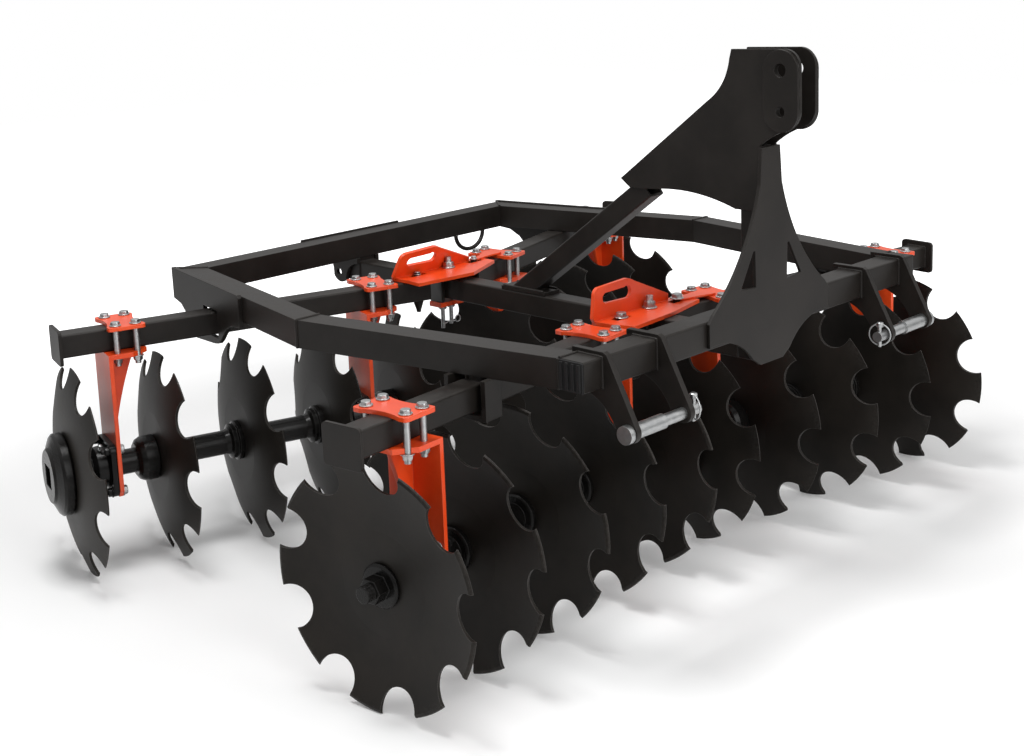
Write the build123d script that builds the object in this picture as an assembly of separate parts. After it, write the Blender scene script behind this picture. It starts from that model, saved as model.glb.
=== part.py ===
from build123d import *
import os
from math import cos, sin, radians, sqrt

os.makedirs("parts", exist_ok=True)

# Driving sizes in millimetres. X points to the machine's right, Y forward to the hitch, Z up.
# Frame sizes are first given with Y = 0 on the front face of the front bar; Y_SHIFT moves
# everything so that the origin is the bottom centre of the whole harrow.
Y_SHIFT = 645.4

DISC_RADIUS = 228.6
AXLE_Z = DISC_RADIUS
DISC_PLATE = 4.8
DISC_DISH = 28.0
DISC_FLAT = 98.0
DISC_PITCH = 193.2
DISCS_PER_GANG = 5
NOTCH_COUNT = 9
NOTCH_RADIUS = 41.0
NOTCH_CENTRE = DISC_RADIUS - 10.0

AXLE_SQUARE = 28.0
AXLE_PLAY = 1.0
JOURNAL_RADIUS = 22.0
RUNNING_FIT = 0.05
SLEEVE_RADIUS = 27.0
SPOOL_FLANGE_RADIUS = 44.0
SPOOL_FLANGE = 12.0
BELL_RADIUS = 49.0
BELL_LENGTH = 45.0
END_BELL_RADIUS = 89.0
END_BELL_BOSS = 58.0
END_BELL_LENGTH = 40.0
END_WASHER_RADIUS = 41.0
END_WASHER = 9.0
END_NUT = 24.0
MOVING_GAP = 5.5
BODY_GAP = 0.5

BAR_TUBE = 50.8
BAR_WALL = 5.0
BAR_OVER_DISCS = 20.0
BAR_BOTTOM = 2 * DISC_RADIUS + BAR_OVER_DISCS
BAR_TOP = BAR_BOTTOM + BAR_TUBE
PAD_HEIGHT = 10.0

RAIL_TUBE = 57.0
RAIL_WALL = 5.0
RAIL_BOTTOM = BAR_TOP + PAD_HEIGHT
RAIL_TOP = RAIL_BOTTOM + RAIL_TUBE
FRONT_HALF = 546.0
BEND_X = 663.0
BEND_Y = -655.0
REAR_HALF = 528.0
REAR_Y = -1284.0

# One row per gang: hub of the outermost disc, turn of the gang about the vertical axis for the
# right-hand side, side of the hollow face, ends of the bar along the gang, middle of the outer
# clamp, middle of the outer leg plate, side of the web, place of the vertical pivot, height of
# the bar above the lowest fit, place of the adjuster handle behind the pins and its forward lean,
# and two sizes of the adjuster's front edge. Places along the gang are measured outward from the outermost hub.
GANGS = {
    "front": dict(x=840.0, y=-212.3, turn=6.9, hollow=1, bar_out=78.0, bar_in=-775.0, clamp=-48.0,
                  leg=-96.5, web=1, pivot=-286.0, lift=0.0, handle=30.0, lean=0.0, plate_end=128.0,
                  plate_mid=86.0),
    "rear": dict(x=910.0, y=-1172.0, turn=-16.3, hollow=-1, bar_out=-6.0, bar_in=-873.0, clamp=-140.5,
                 leg=-100.0, web=-1, pivot=-379.0, lift=8.5, handle=27.0, lean=25.0, plate_end=152.0,
                 plate_mid=116.0),
}

# Turn of each disc's bites about the axle in degrees, outermost disc first.
BITE_TURNS = {
    "front_right": (31.6, 24.0, 15.1, 3.4, 36.0),
    "front_left": (7.8, 31.3, 10.1, 25.9, 20.0),
    "rear_right": (12.3, 25.4, 19.7, 8.0, 30.0),
    "rear_left": (15.5, 28.0, 4.0, 21.0, 34.0),
}

# The inner clamp, leg and bearing of every gang stand this far inward of the outer ones.
STANDARD_STEP = 594.0
LEG_PLATE = 9.0
LEG_HALF_WIDTH = 62.0
LEG_BELOW_AXLE = 59.0
WEB_PLATE = 9.0
WEB_REACH = 62.0
WEB_OFF_CENTRE = -8.0
TOP_PLATE = 10.0
TOP_PLATE_LENGTH = 90.0
CLAMP_LENGTH = 80.0
CLAMP_WIDTH = 126.0
CLAMP_PLATE = 8.0
CLAMP_WAIST = 9.0
BOLT_ALONG = 43.0
BOLT_ACROSS = 91.0
BOLT_HOLE = 6.8

HOUSING_REACH = 44.0
HOUSING_RADIUS = 46.0
FLANGE_HALF = 58.0
FLANGE_THICK = 12.0
END_PLATE_ACROSS = 88.0
END_PLATE_HIGH = 76.0
END_PLATE = 7.0
ADJUST_PIN = 8.0
PIN_INSET = 22.0


def box(x0, x1, y0, y1, z0, z1):
    """Plain block between two corners."""
    return Pos((x0 + x1) / 2, (y0 + y1) / 2, (z0 + z1) / 2) * Box(x1 - x0, y1 - y0, z1 - z0)


def rod(radius, start, length, axis="Z"):
    """Round bar from a start point along X, Y or Z."""
    turn = {"X": Rot(0, 90, 0), "Y": Rot(-90, 0, 0), "Z": Rot(0, 0, 0)}[axis]
    return Pos(*start) * turn * Cylinder(radius, length, align=(Align.CENTER, Align.CENTER, Align.MIN))


def plate(points, thickness, plane):
    """Flat plate from an outline, grown along the plane's normal."""
    outline = Polyline(*points, close=True)
    return extrude(plane * make_face(outline), thickness)


def curved_plate(runs, thickness, plane):
    """Flat plate from runs of two points for a straight edge or three for an arc."""
    edges = [Line(*run) if len(run) == 2 else ThreePointArc(*run) for run in runs]
    return extrude(plane * make_face(edges), thickness)


def side_plane(x):
    """Upright plane facing +X with Y across and Z up, measured from the front bar's front face."""
    return Plane(origin=(x, Y_SHIFT, 0), x_dir=(0, 1, 0), z_dir=(1, 0, 0))


def to_gang(shape, row):
    """Moves a part from its gang's own axes to the right-hand place in the machine."""
    return Pos(row["x"], row["y"] + Y_SHIFT, 0) * Rot(0, 0, row["turn"]) * shape


def to_side(shape, side):
    """Keeps the right-hand part or mirrors it to the left."""
    if side == "right":
        return shape
    return mirror(shape, Plane.YZ)


def save(shape, name):
    """Writes one node."""
    export_step(shape, "parts/" + name + ".step")


def square_tube(width, wall, start, end, roll_up=(0, 0, 1)):
    """Hollow square tube between two centre points."""
    a = Vector(*start)
    b = Vector(*end)
    along = (b - a).normalized()
    side = Vector(*roll_up).cross(along).normalized()
    plane = Plane(origin=a, x_dir=side, z_dir=along)
    outer = extrude(plane * RectangleRounded(width, width, wall * 0.9), (b - a).length)
    inner = extrude(plane * Rectangle(width - 2 * wall, width - 2 * wall), (b - a).length)
    return outer - inner


def turned(profile):
    """Turned piece about the gang's axle from pairs of place along the axle and radius."""
    points = [(profile[0][0], 0)] + list(profile) + [(profile[-1][0], 0)]
    face = make_face(Polyline(*points, close=True))
    return Pos(0, 0, AXLE_Z) * revolve(Plane.XZ * face, Axis.X, 360)


# Discs: dished shells with round bites in the rim and a square hole, one solid each.
def disc_solid(turn):
    """Dished disc about the X axis with its hub plane at X = 0, hollow side toward +X."""
    rim = DISC_RADIUS
    sag = DISC_DISH
    middle = (DISC_FLAT + rim) / 2
    lift = sag * 0.30
    edge = sag + DISC_PLATE * 0.92
    back_middle = (lift + DISC_PLATE * 1.02, middle - 1.2)
    with BuildSketch(Plane.XZ) as profile:
        with BuildLine():
            Polyline((0, 0), (0, DISC_FLAT))
            ThreePointArc((0, DISC_FLAT), (lift, middle), (sag, rim))
            Polyline((sag, rim), (sag + DISC_PLATE * 0.6, rim - 2), (edge, rim - 7))
            ThreePointArc((edge, rim - 7), back_middle, (DISC_PLATE, DISC_FLAT - 1))
            Polyline((DISC_PLATE, DISC_FLAT - 1), (DISC_PLATE, 0), (0, 0))
        make_face()
    shell = revolve(profile.sketch, Axis.X, 360)
    bites = []
    for index in range(NOTCH_COUNT):
        bite = Rot(360.0 / NOTCH_COUNT * index + turn, 0, 0) * Pos(sag, 0, NOTCH_CENTRE) * Rot(0, 90, 0)
        bites.append(bite * Cylinder(NOTCH_RADIUS, sag * 3))
    shell = shell - bites
    return shell - Box(30, AXLE_SQUARE + AXLE_PLAY, AXLE_SQUARE + AXLE_PLAY)


def disc_stack(row, turns):
    """All discs of one gang along its own X axis, outermost first."""
    discs = []
    for index in range(DISCS_PER_GANG):
        disc = disc_solid(turns[index])
        if row["hollow"] < 0:
            disc = mirror(disc, Plane.YZ)
        discs.append(Pos(-index * DISC_PITCH, 0, AXLE_Z) * disc)
    return discs


def flow(start, way, steps):
    """Profile points from a start along one way, from pairs of length so far and radius."""
    return [(start + way * length, radius) for length, radius in steps]


BELL = ((0, BELL_RADIUS - 3), (3, BELL_RADIUS), (BELL_LENGTH - 16, BELL_RADIUS),
        (BELL_LENGTH - 6, BELL_RADIUS - 5), (BELL_LENGTH, BELL_RADIUS - 14), (BELL_LENGTH, SLEEVE_RADIUS))
RINGS = ((0, SPOOL_FLANGE_RADIUS), (10, SPOOL_FLANGE_RADIUS), (12, SPOOL_FLANGE_RADIUS - 5),
         (22, SPOOL_FLANGE_RADIUS - 5), (26, SLEEVE_RADIUS + 3), (36, SLEEVE_RADIUS))
FLANGE = ((0, SPOOL_FLANGE_RADIUS), (SPOOL_FLANGE - 3, SPOOL_FLANGE_RADIUS), (SPOOL_FLANGE, SPOOL_FLANGE_RADIUS - 4),
          (SPOOL_FLANGE, SLEEVE_RADIUS))


def spool(row, index):
    """Spool between two discs: bell or rings on the round back, flange in the hollow face."""
    outer_face = -index * DISC_PITCH - (DISC_PLATE if row["hollow"] < 0 else 0)
    inner_face = -(index + 1) * DISC_PITCH + (DISC_PLATE if row["hollow"] > 0 else 0)
    carried = index in (0, DISCS_PER_GANG - 2)
    back = BELL if carried else RINGS
    outer_steps, inner_steps = (back, FLANGE) if row["hollow"] > 0 else (FLANGE, back)
    profile = flow(outer_face, -1, outer_steps)
    if carried:
        leg = row["leg"] - (STANDARD_STEP if index else 0)
        housing = leg - row["web"] * (LEG_PLATE / 2 + HOUSING_REACH + MOVING_GAP)
        plain = leg + row["web"] * (LEG_PLATE / 2 + MOVING_GAP)
        high, low = max(housing, plain), min(housing, plain)
        profile += [(high, SLEEVE_RADIUS), (high, JOURNAL_RADIUS), (low, JOURNAL_RADIUS), (low, SLEEVE_RADIUS)]
    profile += reversed(flow(inner_face, 1, inner_steps))
    return turned(profile)


def end_bell(face, way):
    """Large bell washer on the round back of an end disc with a square recess in its boss."""
    steps = ((0, END_BELL_RADIUS - 6), (5, END_BELL_RADIUS), (20, END_BELL_RADIUS), (25, END_BELL_RADIUS - 5),
             (END_BELL_LENGTH - 5, END_BELL_BOSS + 4), (END_BELL_LENGTH, END_BELL_BOSS - 1))
    bell = turned(flow(face, way, steps))
    tip = face + way * END_BELL_LENGTH
    low, high = sorted((tip - way * 14, tip + way))
    return bell - box(low, high, -24, 24, AXLE_Z - 24, AXLE_Z + 24)


def end_washer(face, way):
    """Round washer, nut and threaded axle end in the hollow face of an end disc."""
    rim = ((0, END_WASHER_RADIUS), (END_WASHER - 3, END_WASHER_RADIUS), (END_WASHER, END_WASHER_RADIUS - 4))
    washer = turned(flow(face, way, rim))
    plane = Plane(origin=(face + way * END_WASHER, 0, AXLE_Z), x_dir=(0, 1, 0), z_dir=(way, 0, 0))
    nut = extrude(plane * RegularPolygon(END_NUT, 6), 25)
    stud = turned(flow(face, way, ((END_WASHER, 15), (END_WASHER + 40, 15), (END_WASHER + 42, 13))))
    return [washer, nut, stud]


def spool_train(row):
    """Axle, spools, bearing journals and end pieces of one gang as one turning piece."""
    last = -(DISCS_PER_GANG - 1) * DISC_PITCH
    if row["hollow"] > 0:
        ends = [end_bell(last, -1)] + end_washer(DISC_PLATE, 1)
    else:
        ends = [end_bell(0, 1)] + end_washer(last - DISC_PLATE, -1)
    half = AXLE_SQUARE / 2
    train = box(last - DISC_PLATE - 8, DISC_PLATE + 8, -half, half, AXLE_Z - half, AXLE_Z + half)
    for index in range(DISCS_PER_GANG - 1):
        train = train + spool(row, index)
    for piece in ends:
        train = train + piece
    return train


def leg_places(row):
    """Middles of the outer and inner leg plates along the gang."""
    return (row["leg"], row["leg"] - STANDARD_STEP)


def gang_plane(s, way=1):
    """Upright plane across the gang at a place along it, with the across axis forward."""
    return Plane(origin=(s, 0, 0), x_dir=(0, way, 0), z_dir=(way, 0, 0))


def bearing_housings(row):
    """Square-flanged bearing housings on the side of the legs away from the web."""
    housings = []
    way = -row["web"]
    for place in leg_places(row):
        start = place + way * LEG_PLATE / 2
        plane = Plane(origin=(start, 0, AXLE_Z), x_dir=(0, way, 0), z_dir=(way, 0, 0))
        flange = extrude(plane * RectangleRounded(2 * FLANGE_HALF, 2 * FLANGE_HALF, 16), FLANGE_THICK)
        steps = ((0, HOUSING_RADIUS + 6), (FLANGE_THICK, HOUSING_RADIUS + 6), (FLANGE_THICK + 4, HOUSING_RADIUS),
                 (HOUSING_REACH - 8, HOUSING_RADIUS - 2), (HOUSING_REACH, HOUSING_RADIUS - 12))
        shell = flange + turned(flow(start, way, steps))
        inside = start - HOUSING_REACH - 20
        bore = rod(JOURNAL_RADIUS + RUNNING_FIT, (inside, 0, AXLE_Z), 2 * HOUSING_REACH + 40, "X")
        housings.append(shell - bore)
    return housings


def standards(row):
    """Standards under the bar: top plate, leg plate down to the axle and a tapering web."""
    solids = []
    top_z = BAR_BOTTOM + row["lift"] - TOP_PLATE
    w = LEG_HALF_WIDTH
    web = row["web"]
    for place in leg_places(row):
        clamp = place + row["clamp"] - row["leg"]
        back = place - web * LEG_PLATE / 2
        free = clamp + web * TOP_PLATE_LENGTH / 2
        corner = free - web * 37
        top_points = [(back, -w), (corner, -w), (free, -w + 30), (free, w - 30), (corner, w), (back, w)]
        top = plate(top_points, TOP_PLATE, Plane.XY.offset(top_z))
        low = AXLE_Z - LEG_BELOW_AXLE
        leg_points = [(-w, top_z), (w, top_z), (w, low + 16), (w - 14, low), (14 - w, low), (-w, low + 16)]
        leg = plate(leg_points, LEG_PLATE, gang_plane(place - LEG_PLATE / 2))
        leg = leg - rod(JOURNAL_RADIUS + 6, (place - 20, 0, AXLE_Z), 40, "X")
        face = place + web * LEG_PLATE / 2
        reach = [(face, top_z), (face + web * WEB_REACH, top_z)]
        reach += [(face + web * 27, top_z - 100), (face + web * 8, top_z - 186)]
        runs = [reach[:2], reach[1:4], (reach[3], (face, top_z - 190)), ((face, top_z - 190), reach[0])]
        web_plane = Plane(origin=(0, WEB_OFF_CENTRE + WEB_PLATE / 2, 0), x_dir=(1, 0, 0), z_dir=(0, -1, 0))
        solid = top + leg + curved_plate(runs, WEB_PLATE, web_plane)
        solids.append(solid - clamp_bolt_holes(clamp, top_z - 1, TOP_PLATE + 2))
    return solids


def clamp_bolt_holes(centre, z, depth):
    """Four bolt holes beside the bar."""
    holes = []
    for along in (-BOLT_ALONG / 2, BOLT_ALONG / 2):
        for across in (-BOLT_ACROSS / 2, BOLT_ACROSS / 2):
            holes.append(rod(BOLT_HOLE, (centre + along, across, z), depth))
    return holes


def clamp_plates(row):
    """Waisted plates on top of the bar that the standards are bolted up to."""
    solids = []
    sweep = (CLAMP_WIDTH * 0.36) ** 2
    radius = (sweep + CLAMP_WAIST ** 2) / (2 * CLAMP_WAIST)
    for centre in (row["clamp"], row["clamp"] - STANDARD_STEP):
        shape = RectangleRounded(CLAMP_LENGTH, CLAMP_WIDTH, 8)
        for sign in (1, -1):
            shape = shape - Pos(sign * (CLAMP_LENGTH / 2 - CLAMP_WAIST + radius), 0) * Circle(radius)
        z = BAR_TOP + row["lift"]
        solid = extrude(Pos(centre, 0, z) * shape, CLAMP_PLATE)
        solids.append(solid - clamp_bolt_holes(centre, z - 1, CLAMP_PLATE + 2))
    return solids


def gang_bar(row):
    """Square bar over a gang with its end plate, the turning pad under the rail and the inner pin."""
    top = BAR_TOP + row["lift"]
    z = top - BAR_TUBE / 2
    bar = square_tube(BAR_TUBE, BAR_WALL, (row["bar_in"], 0, z), (row["bar_out"], 0, z))
    plane = Plane(origin=(row["bar_out"], 0, z), x_dir=(0, 1, 0), z_dir=(1, 0, 0))
    end = extrude(plane * RectangleRounded(END_PLATE_ACROSS, END_PLATE_HIGH, 9), END_PLATE)
    pad = rod(26, (row["pivot"], 0, top), RAIL_BOTTOM - top - BODY_GAP)
    pin = rod(ADJUST_PIN, (row["bar_in"] + PIN_INSET, 0, top - BAR_WALL - 7), BAR_WALL + 7 + 14)
    return bar + end + pad + pin


# Frame: two cross bars, two side rails in two mitred pieces each, and the centre beam.
def rail_quad(p, q, r, t, z0, z1):
    """Straight-sided block over four corner points."""
    return extrude(Plane.XY.offset(z0) * make_face(Polyline(p, q, r, t, close=True)), z1 - z0)


def offset_line(a, b, distance):
    """Line through two points moved sideways to its left by a distance."""
    dx, dy = b[0] - a[0], b[1] - a[1]
    length = sqrt(dx * dx + dy * dy)
    ox, oy = -dy / length * distance, dx / length * distance
    return (a[0] + ox, a[1] + oy), (b[0] + ox, b[1] + oy)


def meet(first, second):
    """Crossing point of two lines in plan."""
    (x1, y1), (x2, y2) = first
    (x3, y3), (x4, y4) = second
    d = (x1 - x2) * (y3 - y4) - (y1 - y2) * (x3 - x4)
    a = x1 * y2 - y1 * x2
    b = x3 * y4 - y3 * x4
    return ((a * (x3 - x4) - (x1 - x2) * b) / d, (a * (y3 - y4) - (y1 - y2) * b) / d)


RAIL_FRONT = ((FRONT_HALF + 4, -RAIL_TUBE + Y_SHIFT), (BEND_X, BEND_Y + Y_SHIFT))
RAIL_REAR = ((BEND_X, BEND_Y + Y_SHIFT), (REAR_HALF, REAR_Y + Y_SHIFT))
REAR_LINE = ((REAR_HALF, REAR_Y + Y_SHIFT), (-REAR_HALF, REAR_Y + Y_SHIFT))


def side_rail():
    """Right side rail: front and rear hollow pieces meeting in a mitre."""
    pieces = []
    w = RAIL_WALL
    for inset, z0, z1 in ((0, RAIL_BOTTOM, RAIL_TOP), (w, RAIL_BOTTOM + w, RAIL_TOP - w)):
        outer_front = offset_line(*RAIL_FRONT, -inset)
        inner_front = offset_line(*RAIL_FRONT, -RAIL_TUBE + inset)
        outer_rear = offset_line(*RAIL_REAR, -inset)
        inner_rear = offset_line(*RAIL_REAR, -RAIL_TUBE + inset)
        back_inner = offset_line(*REAR_LINE, -RAIL_TUBE)
        front = ((-900, -RAIL_TUBE + Y_SHIFT), (900, -RAIL_TUBE + Y_SHIFT))
        corner = (meet(RAIL_REAR, REAR_LINE), meet(offset_line(*RAIL_REAR, -RAIL_TUBE), back_inner))
        a = meet(outer_front, front)
        b = meet(outer_front, outer_rear)
        c = meet(inner_front, inner_rear)
        d = meet(inner_front, front)
        e = meet(outer_rear, corner)
        f = meet(inner_rear, corner)
        pieces.append((rail_quad(a, b, c, d, z0, z1), rail_quad(b, e, f, c, z0, z1)))
    return (pieces[0][0] + pieces[0][1]) - (pieces[1][0] + pieces[1][1])


def rear_bar():
    """Rear cross bar between the two mitred corners with a stiffening strip along its top."""
    line = offset_line(*RAIL_REAR, -RAIL_TUBE)
    inner = offset_line(*REAR_LINE, -RAIL_TUBE)
    a = (REAR_HALF, REAR_Y + Y_SHIFT)
    b = meet(line, inner)
    solid = rail_quad(a, (-a[0], a[1]), (-b[0], b[1]), b, RAIL_BOTTOM, RAIL_TOP)
    y0 = REAR_Y + Y_SHIFT + RAIL_WALL
    y1 = REAR_Y + Y_SHIFT + RAIL_TUBE - RAIL_WALL
    hollow = box(-b[0] + 10, b[0] - 10, y0, y1, RAIL_BOTTOM + RAIL_WALL, RAIL_TOP - RAIL_WALL)
    strip = box(-160, 160, REAR_Y + Y_SHIFT - 6, REAR_Y + Y_SHIFT, RAIL_BOTTOM + 6, RAIL_TOP + 4)
    return solid - hollow + strip


def front_bar():
    """Front cross bar, open tube closed by end plugs."""
    z = (RAIL_TOP + RAIL_BOTTOM) / 2
    y = Y_SHIFT - RAIL_TUBE / 2
    return square_tube(RAIL_TUBE, RAIL_WALL, (-FRONT_HALF, y, z), (FRONT_HALF, y, z))


def end_plug(side):
    """Ribbed plug in the end of the front bar."""
    y = Y_SHIFT - RAIL_TUBE / 2
    z = (RAIL_TOP + RAIL_BOTTOM) / 2
    half = RAIL_TUBE / 2 - 1
    core = half - RAIL_WALL
    plug = box(FRONT_HALF - 20, FRONT_HALF, y - core, y + core, z - core, z + core)
    cap = box(FRONT_HALF, FRONT_HALF + 4, y - half, y + half, z - half, z + half)
    ribs = []
    for d in (-21, -7, 7, 21):
        ribs.append(box(FRONT_HALF + 4, FRONT_HALF + 7, y + d - 3, y + d + 3, z - half + 3, z + half - 3))
    return to_side(plug + cap + ribs, side)


BEAM_TUBE = 50.8
BEAM_FRONT = Y_SHIFT - 2
BEAM_REAR = REAR_Y + Y_SHIFT + 4


def centre_beam():
    """Square beam under the frame from the front bar to the rear bar, with its two spacer pads."""
    z = BAR_TOP - BEAM_TUBE / 2
    beam = square_tube(BEAM_TUBE, BAR_WALL, (0, BEAM_REAR, z), (0, BEAM_FRONT, z))
    pads = [box(-25, 25, Y_SHIFT - RAIL_TUBE + 2, Y_SHIFT - 4, BAR_TOP, RAIL_BOTTOM)]
    pads.append(box(-25, 25, REAR_Y + Y_SHIFT + 4, REAR_Y + Y_SHIFT + RAIL_TUBE - 2, BAR_TOP, RAIL_BOTTOM))
    return beam + pads


# Mast: two cheeks with doublers, front plate, post and slanted brace.
EAR_INSIDE = 22.5
EAR_PLATE = 6.4
EAR_DOUBLER = 6.4
LINK_Y = 52.0
LINK_UPPER = RAIL_TOP + 460.0
LINK_LOWER = RAIL_TOP + 381.5
LINK_UPPER_HOLE = 12.9
LINK_LOWER_HOLE = 9.7
POST_HEIGHT = 310.0


def mast_cheek(side):
    """Side plate of the mast with a doubler round the two top-link holes."""
    t = RAIL_TOP
    runs = [((-64, t + 497), (57, t + 500)),
            ((57, t + 500), (82, t + 490), (92, t + 466)),
            ((92, t + 466), (92, t + 381)),
            ((92, t + 381), (83, t + 360), (64, t + 348)),
            ((64, t + 348), (26, t + 331), (0, t + 313)),
            ((0, t + 313), (0, t + 185)),
            ((0, t + 185), (-58, t + 185)),
            ((-58, t + 185), (-160, t + 208), (-266, t + 206)),
            ((-266, t + 206), (-325, t + 204)),
            ((-325, t + 204), (-350, t + 222)),
            ((-350, t + 222), (-122, t + 395)),
            ((-122, t + 395), (-87, t + 430), (-69, t + 478)),
            ((-69, t + 478), (-64, t + 497))]
    cheek = curved_plate(runs, EAR_PLATE, side_plane(EAR_INSIDE))
    middle = Pos(LINK_Y, (LINK_UPPER + LINK_LOWER) / 2) * Rot(0, 0, 90)
    doubler = middle * SlotCenterToCenter(LINK_UPPER - LINK_LOWER, 78)
    cheek = cheek + extrude(side_plane(EAR_INSIDE + EAR_PLATE) * doubler, EAR_DOUBLER)
    for z, radius in ((LINK_UPPER, LINK_UPPER_HOLE), (LINK_LOWER, LINK_LOWER_HOLE)):
        cheek = cheek - rod(radius, (EAR_INSIDE - 5, Y_SHIFT + LINK_Y, z), 30, "X")
    return to_side(cheek, side)


FRONT_PLATE = 7.0


def mast_front_plate():
    """Plate in front of the post and the front bar, widening downward, with two windows."""
    t = RAIL_TOP
    half = [((30, t + POST_HEIGHT), (36, t + 238)),
            ((36, t + 238), (87, t + 122), (186, t + 12)),
            ((186, t + 12), (200, t - 4)),
            ((200, t - 4), (200, t - 50)),
            ((200, t - 50), (112, t - 62), (62, t - 102)),
            ((62, t - 102), (37, t - 118))]
    runs = half + [tuple((-x, z) for x, z in reversed(run)) for run in reversed(half)]
    runs.append(((-30, t + POST_HEIGHT), (30, t + POST_HEIGHT)))
    runs.append(((37, t - 118), (-37, t - 118)))
    plane = Plane(origin=(0, Y_SHIFT + FRONT_PLATE, 0), x_dir=(1, 0, 0), z_dir=(0, -1, 0))
    solid = curved_plate(runs, FRONT_PLATE, plane)
    for sign in (1, -1):
        window = [(sign * 54, t + 113), (sign * 60, t + 113), (sign * 101, t + 44), (sign * 52, t + 40)]
        ahead = Plane(origin=(0, Y_SHIFT + 2 * FRONT_PLATE, 0), x_dir=(1, 0, 0), z_dir=(0, -1, 0))
        solid = solid - plate(window, 3 * FRONT_PLATE, ahead)
    return solid


def mast_post():
    """Square upright from the front bar to between the cheeks."""
    y = Y_SHIFT - RAIL_TUBE / 2
    return square_tube(2 * EAR_INSIDE, 5, (0, y, RAIL_TOP), (0, y, RAIL_TOP + POST_HEIGHT), (0, 1, 0))


def mast_brace():
    """Slanted square brace from between the cheeks back to the centre beam."""
    foot = Vector(0, -652 + Y_SHIFT, BAR_TOP + 10)
    head = Vector(0, -290 + Y_SHIFT, BAR_TOP + 10 + 362 * 0.727)
    tube = square_tube(2 * EAR_INSIDE, 5, tuple(foot - (head - foot) * 0.2), tuple(head), (0, 0, 1))
    tube = tube & box(-100, 100, -2000, 2000, BAR_TOP + 8, 2000)
    foot_plate = box(-25, 25, -720 + Y_SHIFT, -585 + Y_SHIFT, BAR_TOP, BAR_TOP + 8)
    return tube + foot_plate


# Lower hitch: two ears over the front bar on each side and the stepped pin through them.
HITCH_Y = 57.0
HITCH_Z = RAIL_TOP - 128.0
EAR_OUTER = FRONT_HALF - 54.0
EAR_INNER = EAR_OUTER - 150.0
EAR_THICK = 12.0
NOSE_RADIUS = 19.0
PIN_THICK = 14.0
PIN_THIN = 11.0


def hitch_ears(side):
    """Pair of ears notched over the front bar, reaching forward and down to the pin."""
    ears = []
    t = RAIL_TOP
    h = HITCH_Z
    nose = HITCH_Y + NOSE_RADIUS
    runs = [((-70, t + 9), (2, t + 9)),
            ((2, t + 9), (10, t + 5)),
            ((10, t + 5), (nose - 4, h + 14)),
            ((nose - 4, h + 14), (nose, h), (HITCH_Y, h - NOSE_RADIUS)),
            ((HITCH_Y, h - NOSE_RADIUS), (34, h - 17)),
            ((34, h - 17), (-18, t - 76), (-70, t - 66)),
            ((-70, t - 66), (-70, t + 9))]
    for x in (EAR_INNER, EAR_OUTER):
        ear = curved_plate(runs, EAR_THICK, side_plane(x - EAR_THICK / 2))
        ear = ear - box(x - 50, x + 50, Y_SHIFT - 2 * RAIL_TUBE, Y_SHIFT, RAIL_BOTTOM, RAIL_TOP)
        radius = PIN_THIN if x == EAR_INNER else PIN_THICK
        ear = ear - rod(radius + RUNNING_FIT, (x - 30, HITCH_Y + Y_SHIFT, HITCH_Z), 60, "X")
        ears.append(to_side(ear, side))
    return ears


def hitch_pin(side):
    """Stepped hitch pin with its round head outside."""
    y = HITCH_Y + Y_SHIFT
    inner = EAR_INNER - EAR_THICK / 2
    outer = EAR_OUTER + EAR_THICK / 2
    pin = rod(PIN_THIN, (inner - 30, y, HITCH_Z), 120, "X")
    pin = pin + rod(PIN_THICK, (inner + 70, y, HITCH_Z), outer - inner - 70 + 2, "X")
    pin = pin + rod(PIN_THICK + 3, (outer + 0.2, y, HITCH_Z), 12, "X")
    return to_side(pin, side)


# Hangers: the plates and straps under the rails that carry the gang bars.
WINDOW_HALF = 39.0


def rear_hanger(side):
    """Plate on the outer face of the rail's rear piece with a window for the rear gang bar."""
    b = BAR_BOTTOM + GANGS["rear"]["lift"]
    points = [(-6, RAIL_TOP + 3), (372, RAIL_TOP + 3), (378, RAIL_TOP - 3), (378, RAIL_BOTTOM - 11), (330, b + 36),
              (305, b + 24), (285, b + 8), (268, b - 8), (252, b - 18), (230, b - 22), (130, b - 30), (112, b - 30),
              (96, b - 14), (70, b + 16), (40, b + 34), (-4, RAIL_BOTTOM - 12)]
    (x0, y0), (x1, y1) = RAIL_REAR[1], RAIL_REAR[0]
    along = Vector(x1 - x0, y1 - y0, 0).normalized()
    out = along.cross(Vector(0, 0, 1))
    plane = Plane(origin=(x0, y0, 0), x_dir=(along.X, along.Y, 0), z_dir=(out.X, out.Y, 0))
    solid = plate(points, 10, plane)
    row = GANGS["rear"]
    turn = radians(row["turn"] + 2.5)
    bar_y = row["y"] + row["pivot"] * sin(radians(row["turn"])) + Y_SHIFT
    bar_x = row["x"] + row["pivot"] * cos(radians(row["turn"]))
    cross = meet(((bar_x, bar_y), (bar_x + cos(turn), bar_y + sin(turn))), RAIL_REAR)
    mid = sqrt((cross[0] - x0) ** 2 + (cross[1] - y0) ** 2)
    low, high = mid - WINDOW_HALF, mid + WINDOW_HALF
    top = b + BAR_TUBE + 5.5
    window = [(low, b - 6), (high, b - 6), (high, top), (low, top)]
    return to_side(solid - plate(window, 10, plane), side)


HANGER_SHIFT = 24.0


def front_hanger(side):
    """Strap under the rail's front piece, closed below the front gang bar."""
    row = GANGS["front"]
    p = row["pivot"] + HANGER_SHIFT
    outer = box(p - 24, p + 24, -48, 48, BAR_BOTTOM - 16, RAIL_BOTTOM)
    inner = box(p - 30, p + 30, -38, 38, BAR_BOTTOM - 6, RAIL_BOTTOM)
    return to_side(to_gang(outer - inner, row), side)


# Rear lug under the rear bar.
LUG_HOLE_Y = -15.0
LUG_HOLE_Z = RAIL_BOTTOM - 43.0
LUG_HOLE = 9.5


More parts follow.
